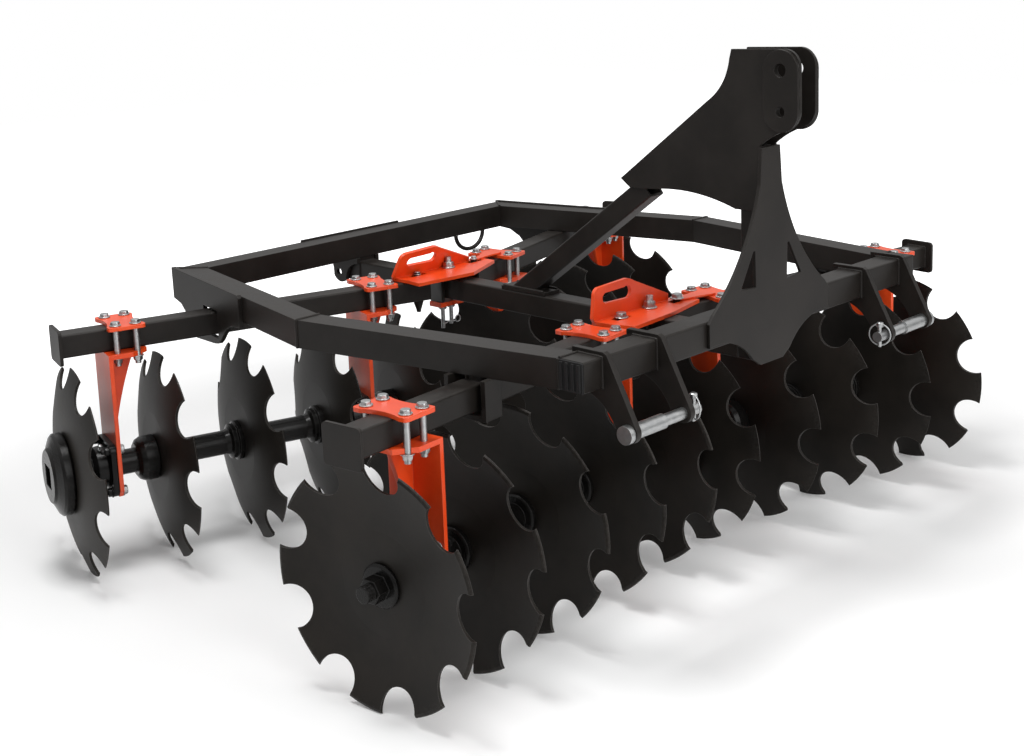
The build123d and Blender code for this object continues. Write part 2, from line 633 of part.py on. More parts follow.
def rear_lug():
    """Pair of drawbar lug plates under the rear bar with one cross hole."""
    z = RAIL_BOTTOM
    runs = [((-52, z), (60, z)),
            ((60, z), (60, z - 14)),
            ((60, z - 14), (28, z - 26), (12, z - 60)),
            ((12, z - 60), (-14, z - 68), (-36, z - 52)),
            ((-36, z - 52), (-40, z - 22), (-52, z))]
    lugs = []
    for x in (26, -36):
        plane = Plane(origin=(x, REAR_Y + Y_SHIFT, 0), x_dir=(0, 1, 0), z_dir=(1, 0, 0))
        lug = curved_plate(runs, 10, plane)
        lugs.append(lug - rod(LUG_HOLE, (x - 5, REAR_Y + Y_SHIFT + LUG_HOLE_Y, LUG_HOLE_Z), 30, "X"))
    return lugs


# Adjusters: sliding plates over the centre beam that carry the inner ends of the gang bars along.
ADJUST_PLATE = 8.0
KEEPER_DROP = 10.0


def adjuster_flat(row, pin_x, pin_y, z):
    """Flat plate across the beam with a cross slot over the pin of each gang bar."""
    back = pin_y - row["handle"]
    points = [(-132, back), (150, back), (146, back + 50), (row["plate_end"], back + 98),
              (-8, back + row["plate_mid"]), (-132, back + 60)]
    flat = plate(points, ADJUST_PLATE, Plane.XY.offset(z))
    for x in (pin_x, -pin_x):
        flat = flat - box(x - 24, x + 24, pin_y - ADJUST_PIN - 2, pin_y + ADJUST_PIN + 2, z - 5, z + 20)
    return flat


def adjuster_handle(back, z, lean):
    """Handle plate along the rear edge of the flat, leaning forward, with a finger slot."""
    tilt = radians(lean)
    origin = Vector(0, back, z)
    normal = Vector(0, -cos(tilt), sin(tilt))
    runs = [((-90, 5), (150, 5)),
            ((150, 5), (156, 14)),
            ((156, 14), (150, 60)),
            ((150, 60), (144, 73), (132, 77)),
            ((132, 77), (56, 80)),
            ((56, 80), (40, 79), (24, 72)),
            ((24, 72), (-90, 22)),
            ((-90, 22), (-90, 5))]
    handle = curved_plate(runs, -ADJUST_PLATE, Plane(origin=origin, x_dir=(1, 0, 0), z_dir=normal))
    slot_runs = [((44, 38), (110, 40)),
                 ((110, 40), (124, 51), (114, 62)),
                 ((114, 62), (54, 63)),
                 ((54, 63), (34, 55), (44, 38))]
    above = Plane(origin=origin + normal * 10, x_dir=(1, 0, 0), z_dir=normal)
    return handle - curved_plate(slot_runs, -30, above)


def adjuster(row):
    """Flat, handle, guides down both sides of the beam and the keeper under it."""
    reach = row["bar_in"] + PIN_INSET
    pin_x = row["x"] + reach * cos(radians(row["turn"]))
    pin_y = row["y"] + reach * sin(radians(row["turn"])) + Y_SHIFT
    z = BAR_TOP + row["lift"] + BODY_GAP
    low = BAR_BOTTOM - KEEPER_DROP
    solid = adjuster_flat(row, pin_x, pin_y, z) + adjuster_handle(pin_y - row["handle"], z, row["lean"])
    for x in (31, -31):
        solid = solid + box(x - 5, x + 5, pin_y - 20, pin_y + 20, low - 2, z)
    return solid + box(-40, 40, pin_y - 20, pin_y + 20, low - 11, low)


for name, row in GANGS.items():
    for side in ("right", "left"):
        tag = name + "_" + side
        discs = [to_side(to_gang(d, row), side) for d in disc_stack(row, BITE_TURNS[tag])]
        save(Compound(children=discs), "discs_" + tag)
        save(to_side(to_gang(spool_train(row), row), side), "spools_" + tag)
        save(Compound(children=[to_side(to_gang(s, row), side) for s in bearing_housings(row)]), "bearings_" + tag)
        save(Compound(children=[to_side(to_gang(s, row), side) for s in standards(row)]), "standards_" + tag)
        save(Compound(children=[to_side(to_gang(s, row), side) for s in clamp_plates(row)]), "clamps_" + tag)
        save(to_side(to_gang(gang_bar(row), row), side), "bar_" + tag)

for side in ("right", "left"):
    save(to_side(side_rail(), side), "side_rail_" + side)
    save(end_plug(side), "end_plug_" + side)
    save(mast_cheek(side), "mast_cheek_" + side)
    save(Compound(children=hitch_ears(side)), "hitch_ears_" + side)
    save(hitch_pin(side), "hitch_pin_" + side)
    save(rear_hanger(side), "rear_hanger_" + side)
    save(front_hanger(side), "front_hanger_" + side)
save(front_bar(), "front_bar")
save(rear_bar(), "rear_bar")
save(centre_beam(), "centre_beam")
save(mast_front_plate(), "mast_front_plate")
save(mast_post(), "mast_post")
save(mast_brace(), "mast_brace")
save(Compound(children=rear_lug()), "rear_lug")
for name, row in GANGS.items():
    save(adjuster(row), "adjuster_" + name)
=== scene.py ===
import bmesh
import bpy
import numpy as np
from math import cos, pi, radians, sin
from mathutils import Matrix, Vector


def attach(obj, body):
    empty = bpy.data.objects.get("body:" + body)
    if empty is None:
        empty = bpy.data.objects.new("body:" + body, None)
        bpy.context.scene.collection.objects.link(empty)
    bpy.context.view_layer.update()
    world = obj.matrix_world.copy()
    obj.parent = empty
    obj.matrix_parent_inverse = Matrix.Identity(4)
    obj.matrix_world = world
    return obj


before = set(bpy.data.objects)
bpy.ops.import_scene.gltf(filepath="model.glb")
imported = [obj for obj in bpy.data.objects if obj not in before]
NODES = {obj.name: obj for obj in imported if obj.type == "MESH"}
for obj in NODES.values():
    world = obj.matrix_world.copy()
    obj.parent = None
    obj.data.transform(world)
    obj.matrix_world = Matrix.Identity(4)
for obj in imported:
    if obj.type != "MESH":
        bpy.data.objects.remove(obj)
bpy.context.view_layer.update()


# Camera: stands where the picture was taken, to the front right of the harrow, a little above it.
# The lens is shifted down and to the side, so uprights stay nearly upright.
scene = bpy.context.scene
YAW, PITCH, ROLL = 0.7697, -0.1853, -0.0403
EYE = Vector((2.4112, 2.3372, 1.3175))
FRAME_WIDE, FRAME_TALL, FILM = 1024, 756, 36.0
FOCAL, AXIS_X, AXIS_Y = 1513.519, 483.664, 223.5735
ahead = Vector((-sin(YAW) * cos(PITCH), -cos(YAW) * cos(PITCH), sin(PITCH)))
level = ahead.cross(Vector((0, 0, 1))).normalized()
upward = level.cross(ahead)
right_hand = level * cos(ROLL) + upward * sin(ROLL)
top_hand = upward * cos(ROLL) - level * sin(ROLL)
camera_data = bpy.data.cameras.new("camera")
camera = bpy.data.objects.new("camera", camera_data)
scene.collection.objects.link(camera)
camera.matrix_world = Matrix((
    (right_hand.x, top_hand.x, -ahead.x, EYE.x),
    (right_hand.y, top_hand.y, -ahead.y, EYE.y),
    (right_hand.z, top_hand.z, -ahead.z, EYE.z),
    (0, 0, 0, 1)))
camera_data.sensor_width = FILM
camera_data.lens = FOCAL / FRAME_WIDE * FILM
camera_data.shift_x = (FRAME_WIDE / 2 - AXIS_X) / FRAME_WIDE
camera_data.shift_y = (AXIS_Y - FRAME_TALL / 2) / FRAME_WIDE
scene.camera = camera


# Studio: a pale floor, a white room, a soft lamp overhead and a wide one in front. The floor holds
# the harrow's shadow and glows white further out for the camera; the room is white to the camera
# and overhead in reflections, and dimmer near the horizon in them.
class Wire:
    """One socket of a shader. Arithmetic on wires and numbers adds Math nodes."""

    def __init__(self, tree, socket=None):
        self.tree = tree
        self.socket = socket

    def node(self, kind, settings, values, out=0):
        """Adds a node: its settings first, then the values or links of its sockets."""
        made = self.tree.nodes.new("ShaderNode" + kind)
        for key, value in settings.items():
            setattr(made, key, value)
        for key, value in values.items():
            if isinstance(value, Wire):
                self.tree.links.new(value.socket, made.inputs[key])
            else:
                made.inputs[key].default_value = value
        return Wire(self.tree, made.outputs[out])

    def math(self, operation, *values):
        return self.node("Math", {"operation": operation}, dict(enumerate(values)))

    def __add__(self, other):
        return self.math("ADD", self, other)

    def __radd__(self, other):
        return self.math("ADD", other, self)

    def __sub__(self, other):
        return self.math("SUBTRACT", self, other)

    def __rsub__(self, other):
        return self.math("SUBTRACT", other, self)

    def __mul__(self, other):
        return self.math("MULTIPLY", self, other)

    def __rmul__(self, other):
        return self.math("MULTIPLY", other, self)

    def band(self, low, high):
        """0 below low, 1 above high and a smooth step between."""
        values = {"Value": self, "From Min": low, "From Max": high}
        return self.node("MapRange", {"interpolation_type": "SMOOTHSTEP"}, values)

    def mixed(self, first, second):
        """Colour that goes from the first to the second as this wire goes from 0 to 1."""
        return self.node("Mix", {"data_type": "RGBA"}, {0: self, 6: first, 7: second}, 2)


FLOOR = 9
FLOOR_WHITE = (0.97, 0.97, 0.97, 1)
GLOW_NEAR, GLOW_FROM, GLOW_TO = 0.04, 1.25, 2.9
ROOM_LIGHT, ROOM_TOP, ROOM_LOW = 0.48, 0.65, 0.13
LAMPS = {"overhead": (79, 1.2, (1.05, -0.1, 4.0)), "front": (90, 3.2, (0.2, 3.9, 2.4))}
LAMPS_AIM = Vector((0, 0, 0.4))
floor_mesh = bpy.data.meshes.new("floor")
floor_corners = [(-FLOOR, -FLOOR, 0), (FLOOR, -FLOOR, 0), (FLOOR, FLOOR, 0), (-FLOOR, FLOOR, 0)]
floor_mesh.from_pydata(floor_corners, [], [(0, 1, 2, 3)])
floor = bpy.data.objects.new("floor", floor_mesh)
scene.collection.objects.link(floor)
floor_paint = bpy.data.materials.new("floor")
floor_paint.use_nodes = True
floor_shader = floor_paint.node_tree.nodes["Principled BSDF"]
floor_shader.inputs["Base Color"].default_value = FLOOR_WHITE
floor_shader.inputs["Roughness"].default_value = 0.9
floor_shader.inputs["Specular IOR Level"].default_value = 0.0
floor_shader.inputs["Emission Color"].default_value = (1, 1, 1, 1)
start = Wire(floor_paint.node_tree)
spot = start.node("TexCoord", {}, {}, "Object")
away = start.node("VectorMath", {"operation": "LENGTH"}, {0: spot}, "Value")
glow = GLOW_NEAR + away.band(GLOW_FROM, GLOW_TO)
glow = start.node("LightPath", {}, {}, "Is Camera Ray") * glow
floor_paint.node_tree.links.new(glow.socket, floor_shader.inputs["Emission Strength"])
floor_mesh.materials.append(floor_paint)
world = bpy.data.worlds.new("room")
world.use_nodes = True
room = world.node_tree.nodes["Background"]
room.inputs["Color"].default_value = (1, 1, 1, 1)
seen = Wire(world.node_tree).node("LightPath", {}, {}, "Is Camera Ray")
mirrored = Wire(world.node_tree, seen.socket.node.outputs["Is Glossy Ray"])
through = Wire(world.node_tree, seen.socket.node.outputs["Is Transmission Ray"])
way = seen.node("TexCoord", {}, {}, "Object")
above = seen.node("SeparateXYZ", {}, {0: way}, "Z").band(0.05, 0.6)
strength = ROOM_LIGHT + (seen + through) * (1 - ROOM_LIGHT)
strength = strength + mirrored * (above * ROOM_TOP - ROOM_LOW)
world.node_tree.links.new(strength.socket, room.inputs["Strength"])
scene.world = world
for name, (energy, size, place) in LAMPS.items():
    lamp_data = bpy.data.lights.new(name, "AREA")
    lamp_data.energy = energy
    lamp_data.size = size
    lamp = bpy.data.objects.new(name, lamp_data)
    scene.collection.objects.link(lamp)
    lamp.location = place
    lamp.rotation_euler = (LAMPS_AIM - lamp.location).to_track_quat("-Z", "Y").to_euler()
scene.view_settings.view_transform = "Standard"


# Frame: welded square tubes, a front bar, two side rails bent outward in mitred halves, a rear
# bar and the beam under the middle. Powder-coated satin black, with worn edges, and patches on top
# that are partly dust and partly a painted lighter top standing in for the light from above.
def dress(paint, *names):
    """Gives CAD nodes their material."""
    for name in names:
        NODES[name].data.materials.clear()
        NODES[name].data.materials.append(paint)


def finish(name, constants):
    """New material: returns it, its shader and a first wire. Constants go straight on sockets."""
    made = bpy.data.materials.new(name)
    made.use_nodes = True
    shader = made.node_tree.nodes["Principled BSDF"]
    for key, value in constants.items():
        shader.inputs[key].default_value = value
    return made, shader, Wire(made.node_tree)


def put(shader, **links):
    """Joins wires to the shader's sockets; an underscore stands for a space."""
    for key, wire in links.items():
        wire.tree.links.new(wire.socket, shader.inputs[key.replace("_", " ")])


def spread(start, scale, detail, rough, stretch=(1, 1, 1)):
    """Noise over object coordinates, stretched along its axes."""
    spot = start.node("TexCoord", {}, {}, "Object")
    spot = start.node("Mapping", {}, {"Vector": spot, "Scale": stretch})
    values = {"Vector": spot, "Scale": scale, "Detail": detail, "Roughness": rough}
    return start.node("TexNoise", {}, values, 0)


def eased(start, radius):
    """Normal rounded over the edges, and how much it leaves the flat face there."""
    normal = start.node("Bevel", {"samples": 6}, {"Radius": radius})
    flat = start.node("NewGeometry", {}, {}, "Normal")
    same = start.node("VectorMath", {"operation": "DOT_PRODUCT"}, {0: normal, 1: flat}, "Value")
    return normal, (1 - same).band(0.02, 0.28)


def up_faces(start):
    """1 on faces that look up and 0 on the others."""
    flat = start.node("NewGeometry", {}, {}, "Normal")
    return start.node("SeparateXYZ", {}, {0: flat}, "Z").band(0.3, 0.95)


def bumped(start, height, strength, distance, normal):
    """Bump of a height over an already rounded normal."""
    values = {"Height": height, "Strength": strength, "Distance": distance, "Normal": normal}
    return start.node("Bump", {}, values)


frame_paint, shader, start = finish("frame_paint", {"Specular IOR Level": 0.23})
cloudy = spread(start, 9.0, 4.0, 0.6)
peel = spread(start, 620.0, 2.0, 0.5)
normal, edge = eased(start, 0.0022)
# Dust and painted top light: faces that look up are lightened in patches, partly dust and partly
# painted light from above.
dust_and_top_light = up_faces(start) * spread(start, 26.0, 5.0, 0.65).band(0.3, 0.75)
worn = edge * spread(start, 60.0, 3.0, 0.6).band(0.42, 0.7)
tone = cloudy.band(0.3, 0.7).mixed((0.0100, 0.0082, 0.0070, 1), (0.0165, 0.0138, 0.0120, 1))
tone = (dust_and_top_light * 0.35).mixed(tone, (0.060, 0.055, 0.050, 1))
tone = (worn * 0.5).mixed(tone, (0.075, 0.070, 0.066, 1))
put(shader, Base_Color=tone, Roughness=0.34 + cloudy * 0.14 + dust_and_top_light * 0.12,
    Normal=bumped(start, peel, 0.16, 0.0006, normal))
dress(frame_paint, "front_bar", "rear_bar", "centre_beam", "side_rail_right", "side_rail_left")


def sheet(grid):
    """Quads between neighbouring points of a grid whose last column joins its first."""
    lines, columns = grid.shape[:2]
    index = np.arange(lines * columns).reshape(lines, columns)
    index = np.concatenate([index, index[:, :1]], axis=1)
    corners = [index[:-1, :-1], index[1:, :-1], index[1:, 1:], index[:-1, 1:]]
    return grid.reshape(-1, 3), np.stack(corners, axis=-1).reshape(-1, 4)


def around(count):
    """Turns evenly spaced over one full turn, the first at 0."""
    return np.linspace(0, 2 * pi, count, endpoint=False)


def carried(path, radius, across, sides, loop=False):
    """Round section carried along a path: centre + radius (cos t side + sin t across), where
    across is a given direction and side is square to it and to the path. Open ends are closed
    by rings of radius 0."""
    path = np.asarray(path, float)
    radius = np.broadcast_to(np.asarray(radius, float), (len(path),))
    across = np.broadcast_to(np.asarray(across, float), path.shape)
    if loop:
        way = np.roll(path, -1, axis=0) - np.roll(path, 1, axis=0)
    else:
        way = np.gradient(path, axis=0)
    side = np.cross(across, way)
    side = side / np.linalg.norm(side, axis=1, keepdims=True)
    if not loop:
        path = np.concatenate([path[:1], path, path[-1:]])
        side = np.concatenate([side[:1], side, side[-1:]])
        across = np.concatenate([across[:1], across, across[-1:]])
        radius = np.concatenate([[0.0], radius, [0.0]])
    turn = around(sides)[None, :, None]
    section = np.cos(turn) * side[:, None] + np.sin(turn) * across[:, None]
    grid = path[:, None] + radius[:, None, None] * section
    if loop:
        grid = np.concatenate([grid, grid[:1]])
    return sheet(grid)


def evenly(points, step):
    """Points along straight runs, one every step: places interpolated over the length so far."""
    points = np.asarray(points, float)
    so_far = np.concatenate([[0.0], np.cumsum(np.linalg.norm(np.diff(points, axis=0), axis=1))])
    count = max(int(so_far[-1] / step), 3)
    places = np.linspace(0, so_far[-1], count)
    return np.stack([np.interp(places, so_far, points[:, axis]) for axis in range(3)], axis=1)


def bead(points, across, radius=0.0034):
    """Weld bead: a round section whose radius is radius (0.86 + 0.14 |sin(pi place / ripple)| +
    0.05 sin(190 place)), so it has a ripple every 5 mm and swells slowly along the path."""
    step, ripple = 0.0013, 0.005
    path = evenly(points, step)
    place = np.arange(len(path)) * step
    size = 0.86 + 0.14 * np.abs(np.sin(pi * place / ripple)) + 0.05 * np.sin(place * 190)
    return carried(path, radius * size, across, 8)


def piece(name, parts, paint, body):
    """Joins closed surfaces into one object in metres that rides on a body."""
    counts = np.cumsum([0] + [len(points) for points, faces in parts])
    points = np.concatenate([points for points, faces in parts])
    faces = np.concatenate([part[1] + count for part, count in zip(parts, counts)])
    mesh = bpy.data.meshes.new(name)
    mesh.from_pydata(points.tolist(), [], faces.tolist())
    work = bmesh.new()
    work.from_mesh(mesh)
    bmesh.ops.remove_doubles(work, verts=work.verts, dist=1e-6)
    bmesh.ops.recalc_face_normals(work, faces=work.faces)
    work.to_mesh(mesh)
    work.free()
    mesh.shade_smooth()
    mesh.set_sharp_from_angle(angle=radians(38))
    mesh.materials.append(paint)
    made = bpy.data.objects.new(name, mesh)
    scene.collection.objects.link(made)
    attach(made, body)


FRONT_Y = 0.6454
RAIL_LOW, RAIL_HIGH = 0.538, 0.595
TUBE = 0.057
JOIN_Y = FRONT_Y - TUBE
BEND, BEND_IN = (0.663, -0.0096), (0.6040, -0.0100)
CORNER, CORNER_IN_X = (0.528, -0.6386), 0.4805
JOIN_IN_X, JOIN_OUT_X, RAIL_OUT_X = 0.498, 0.546, 0.5495
BEAM_X, BEAM_LOW, BEAM_HIGH = 0.0254, 0.480, 0.527
X_AXIS, Y_AXIS, Z_AXIS = (1, 0, 0), (0, 1, 0), (0, 0, 1)
beads = []
for sign in (1, -1):
    mitre = [(sign * BEND_IN[0], BEND_IN[1], RAIL_HIGH),
             (sign * BEND[0], BEND[1], RAIL_HIGH),
             (sign * BEND[0], BEND[1], RAIL_LOW)]
    over = [(sign * JOIN_IN_X, JOIN_Y, RAIL_HIGH), (sign * JOIN_OUT_X, JOIN_Y, RAIL_HIGH)]
    down = [(sign * RAIL_OUT_X, JOIN_Y, RAIL_HIGH), (sign * RAIL_OUT_X, JOIN_Y, RAIL_LOW)]
    rear = [(sign * CORNER[0], CORNER[1], RAIL_HIGH),
            (sign * CORNER_IN_X, CORNER[1] + TUBE, RAIL_HIGH)]
    beads += [bead(mitre, Y_AXIS), bead(over, Z_AXIS), bead(down, X_AXIS), bead(rear, Z_AXIS)]
    for y in (JOIN_Y, CORNER[1] + TUBE):
        upright = [(sign * BEAM_X, y, BEAM_LOW), (sign * BEAM_X, y, BEAM_HIGH)]
        beads.append(bead(upright, X_AXIS, 0.003))
piece("frame_welds", beads, frame_paint, "frame")


# Mast: two flat cheeks with doublers round the link holes, a post, a slanted brace back to the
# beam and a wide plate in front. Flame-cut plate, welded to the tubes and painted with them.
dress(frame_paint, "mast_cheek_right", "mast_cheek_left", "mast_front_plate", "mast_post",
      "mast_brace")
CHEEK_FACE, DOUBLER = 0.0289, 0.0368
LINK_Y = FRONT_Y + 0.052
LINK_LOW, LINK_HIGH = 0.9765, 1.055
POST_X, POST_Y = 0.0225, FRONT_Y - 0.003
POST_LOW, POST_HIGH = 0.785, 0.902
FOOT_FRONT_Y, FOOT_BACK_Y = FRONT_Y - TUBE / 2, FRONT_Y - 0.0505
BRACE_BACK_Y, BRACE_FRONT_Y, BRACE_Z = FRONT_Y - 0.715, FRONT_Y - 0.590, 0.537
PLATE_IN_X, PLATE_OUT_X = 0.040, 0.180
PLATE_Y, PLATE_Z = FRONT_Y + 0.0005, RAIL_HIGH + 0.0005
beads = []
for sign in (1, -1):
    turn = np.linspace(0, pi, 25)
    rise, reach = DOUBLER * np.sin(turn), DOUBLER * np.cos(turn)
    face = np.full(25, sign * CHEEK_FACE)
    upper = np.stack([face, LINK_Y + reach, LINK_HIGH + rise], axis=1)
    lower = np.stack([face, LINK_Y - reach, LINK_LOW - rise], axis=1)
    beads.append(bead(np.concatenate([upper, lower, upper[:1]]), X_AXIS, 0.0030))
    x = sign * POST_X
    post = [(x, POST_Y, POST_LOW), (x, POST_Y, POST_HIGH)]
    foot = [(x, FOOT_FRONT_Y, RAIL_HIGH + 0.001), (x, FOOT_BACK_Y, RAIL_HIGH + 0.001)]
    brace = [(x, BRACE_BACK_Y, BRACE_Z), (x, BRACE_FRONT_Y, BRACE_Z)]
    plate = [(sign * PLATE_IN_X, PLATE_Y, PLATE_Z), (sign * PLATE_OUT_X, PLATE_Y, PLATE_Z)]
    beads += [bead(post, X_AXIS, 0.0030), bead(foot, X_AXIS, 0.0030),
              bead(brace, X_AXIS, 0.0034), bead(plate, Y_AXIS, 0.0026)]
piece("mast_welds", beads, frame_paint, "frame")


# Lower hitch: two ears a side, cut from plate and welded over the front bar, with a stepped
# zinc-plated pin through them that is held by a lynch pin with a spring ring.
dress(frame_paint, "hitch_ears_right", "hitch_ears_left")
zinc, shader, start = finish("zinc_pin", {"Metallic": 1.0, "Coat Roughness": 0.2})
mottle = spread(start, 90.0, 4.0, 0.6)
brushed = spread(start, 240.0, 2.0, 0.5, (0.15, 1, 1))
normal = eased(start, 0.0008)[0]
tone = mottle.band(0.3, 0.75).mixed((0.40, 0.408, 0.414, 1), (0.49, 0.495, 0.49, 1))
put(shader, Base_Color=tone, Roughness=0.31 + mottle * 0.12,
    Normal=bumped(start, brushed, 0.04, 0.0004, normal))
dress(zinc, "hitch_pin_right", "hitch_pin_left")


def lathe(profile, sides=24, flat=None):
    """Turned surface: at height z and turn t the point is (r cos t, r sin t, z). With flat, the
    radius is held inside a six-sided bar: r = min(r, flat / cos(t wrapped to a half side))."""
    profile = np.asarray(profile, float)
    turn = around(sides)
    radius = np.repeat(profile[:, 1:2], sides, axis=1)
    if flat:
        wrapped = (turn + pi / 6) % (pi / 3) - pi / 6
        radius = np.minimum(radius, flat / np.cos(wrapped)[None, :])
    along = np.repeat(profile[:, :1], sides, axis=1)
    return sheet(np.stack([radius * np.cos(turn), radius * np.sin(turn), along], axis=-1))


def stand(origin, axis, spin=0.0):
    """4 by 4 placement whose own Z lies along an axis, turned about it by spin."""
    axis = Vector(axis).normalized()
    first = axis.orthogonal().normalized()
    second = axis.cross(first)
    side = first * cos(spin) + second * sin(spin)
    other = axis.cross(side)
    made = np.eye(4)
    made[:3, 0], made[:3, 1], made[:3, 2], made[:3, 3] = side, other, axis, origin
    return made


def placed(part, place):
    """A surface moved by a 4 by 4 placement."""
    points, faces = part
    return points @ place[:3, :3].T + place[:3, 3], faces


HITCH_Y, HITCH_Z = FRONT_Y + 0.057, 0.467
EAR_XS, EAR_HALF = (0.342, 0.492), 0.006
LYNCH_X, RING, RING_LIFT, RING_WIRE = 0.3165, 0.0225, 0.004, 0.0017
SWING = {"right": -0.36, "left": 0.26}
SHAFT = [(-0.023, 0), (-0.023, 0.0025), (-0.021, 0.0042), (0.020, 0.0042), (0.021, 0.0075),
         (0.029, 0.0075), (0.031, 0.0050), (0.031, 0)]
for sign, side in ((1, "right"), (-1, "left")):
    x, swing = sign * LYNCH_X, SWING[side]
    parts = [placed(lathe(SHAFT, 20), stand((x, HITCH_Y, HITCH_Z), Z_AXIS))]
    turn = around(48)
    ring = np.stack([x - RING * np.sin(turn) * sin(swing),
                     HITCH_Y + RING * np.sin(turn) * cos(swing),
                     HITCH_Z + RING_LIFT + RING * np.cos(turn)], axis=1)
    parts.append(carried(ring, RING_WIRE, (cos(swing), sin(swing), 0), 10, True))
    piece("lynch_pin_" + side, parts, zinc, "frame")
    beads = []
    for ear in EAR_XS:
        for face in (ear - EAR_HALF, ear + EAR_HALF):
            x = sign * face
            edge = [(x, JOIN_Y, RAIL_HIGH), (x, FRONT_Y, RAIL_HIGH), (x, FRONT_Y, RAIL_LOW)]
            beads.append(bead(edge, X_AXIS, 0.0032))
    piece("hitch_welds_" + side, beads, frame_paint, "frame")


# Hangers and rear lug: plates and straps under the rails that carry the gang bars, a pair of
# drawbar lugs and a loop of round rod under the rear bar. Cut plate, welded on and painted.
dress(frame_paint, "rear_hanger_right", "rear_hanger_left", "front_hanger_right",
      "front_hanger_left", "rear_lug")
LOOP = (-0.362, -0.5820, 0.539)
LOOP_HALF, LOOP_DROP, LOOP_ROD = 0.050, 0.043, 0.0055
turn = np.linspace(0, pi, 40)
loop_path = np.stack([LOOP[0] + LOOP_HALF * np.cos(turn), np.full(40, LOOP[1]),
                      LOOP[2] - LOOP_DROP * np.sin(turn)], axis=1)
loop = carried(loop_path, LOOP_ROD, Y_AXIS, 12)
piece("rear_loop", [loop], frame_paint, "frame")


# Standards and clamps: a plate leg under each bar end with its top plate and tapering web, bolted
# up to a waisted plate over the bar by four zinc bolts. Orange enamel over shot-blasted steel.
def enamel(name, guides=None):
    """Orange enamel with a painted highlight, a paler orange, along the rounded edges, and worn
    dark in places. With guides, the low and the high end of a band of heights, what lies between
    them is painted black."""
    made, shader, start = finish(name, {
        "Specular IOR Level": 0.50, "Coat Weight": 0.15, "Coat Roughness": 0.2})
    cloudy = spread(start, 14.0, 4.0, 0.6)
    peel = spread(start, 420.0, 2.0, 0.5)
    normal, edge = eased(start, 0.0018)
    worn = edge * spread(start, 55.0, 4.0, 0.65).band(0.5, 0.72)
    tone = cloudy.band(0.3, 0.7).mixed((0.76, 0.058, 0.007, 1), (0.87, 0.080, 0.010, 1))
    # Painted highlight: all rounded edges are lifted toward a paler orange.
    tone = (edge * 0.25).mixed(tone, (0.92, 0.20, 0.05, 1))
    tone = (worn * 0.55).mixed(tone, (0.20, 0.055, 0.030, 1))
    if guides:
        (low, low_end), (high, high_end) = guides
        spot = start.node("TexCoord", {}, {}, "Object")
        height = start.node("SeparateXYZ", {}, {0: spot}, "Z")
        guide = height.band(low, low_end) * (1 - height.band(high, high_end))
        tone = guide.mixed(tone, (0.0130, 0.0110, 0.0095, 1))
    put(shader, Base_Color=tone, Roughness=0.30 + cloudy * 0.12 + worn * 0.2,
        Normal=bumped(start, peel, 0.14, 0.0006, normal))
    return made


orange = enamel("accent_paint")
GANGS = {
    "front": {"hub": (0.840, 0.4331), "turn": 6.9, "clamp": -0.048, "leg": -0.0965, "web": 1,
              "top": 0.528, "end": 0.078, "thread": (1, 0.0380, 0.0562)},
    "rear": {"hub": (0.910, -0.5266), "turn": -16.3, "clamp": -0.1405, "leg": -0.100, "web": -1,
             "top": 0.5365, "end": -0.006, "thread": (-1, 0.8110, 0.8290)}}
STEP = 0.594
BAR = 0.0508
CLAMP_PLATE, STANDARD_PLATE = 0.0082, 0.0610
CLAMP_HALF, CLAMP_REACH = 0.0215, 0.0455
CLAMP_HEAD, CLAMP_NUT = (0.0088, 0.0064), (0.0088, 0.0090)
CLAMP_ROD, ROD_BELOW, ROD_ABOVE = 0.0066, 0.018, 0.002


def gang_place(gang, side):
    """Placement of a gang's own axes: out along the axle, forward across it, and up."""
    row = GANGS[gang]
    turn = radians(row["turn"])
    made = np.array([[cos(turn), -sin(turn), 0, row["hub"][0]],
                     [sin(turn), cos(turn), 0, row["hub"][1]],
                     [0, 0, 1, 0],
                     [0, 0, 0, 1]])
    if side == "left":
        made[0] = -made[0]
    return made


def each_gang():
    """The four gangs: the numbers of the row, the gang's name and its placement."""
    for gang, row in GANGS.items():
        for side in ("right", "left"):
            yield row, "%s_%s" % (gang, side), gang_place(gang, side)


def bolt_head(flat, tall, place):
    """Six-sided head with its chamfer on a round washer, standing on the placement's origin along
    its Z. Flat is the distance from the middle to a flat side."""
    thick, wide = 0.0026, flat * 1.42
    washer = [(0, 0), (0, flat * 1.36), (0.0006, wide), (0.0020, wide), (thick, flat * 1.36),
              (thick, 0)]
    head = [(thick, 0), (thick, flat * 1.15), (thick + tall * 0.72, flat * 1.2),
            (thick + tall, flat * 0.98), (thick + tall, flat * 0.8), (thick + tall + 0.0003, 0)]
    return [placed(lathe(washer), place), placed(lathe(head, flat=flat), place)]


def shank(radius, low, high):
    """Threaded rod: radius (1 - 0.07 saw), where saw is 2 |frac(height / pitch) - 0.5|, which goes
    from 1 to 0 and back over each pitch. The ends are closed flat."""
    pitch, step = 0.00175, 0.0006
    height = np.linspace(low, high, max(int((high - low) / step), 4))
    saw = np.abs((height / pitch) % 1.0 - 0.5) * 2
    radii = radius * (1 - 0.07 * saw)
    return lathe([(low, 0)] + list(zip(height, radii)) + [(high, 0)], 16)


for row, name, place in each_gang():
    base, under = row["top"] + CLAMP_PLATE, row["top"] - STANDARD_PLATE
    rod = shank(CLAMP_ROD, under - ROD_BELOW, base + ROD_ABOVE)
    parts = []
    for centre in (row["clamp"], row["clamp"] - STEP):
        for s in (centre - CLAMP_HALF, centre + CLAMP_HALF):
            for across in (-CLAMP_REACH, CLAMP_REACH):
                spin = 7.0 * s + across * 31
                up = stand((s, across, base), Z_AXIS, spin)
                down = stand((s, across, under), (0, 0, -1), spin + 0.4)
                parts += bolt_head(*CLAMP_HEAD, place @ up) + bolt_head(*CLAMP_NUT, place @ down)
                parts.append(placed(rod, place @ stand((s, across, 0), Z_AXIS)))
    piece("clamp_bolts_" + name, parts, zinc, "bar_" + name)
    dress(orange, "clamps_" + name, "standards_" + name)


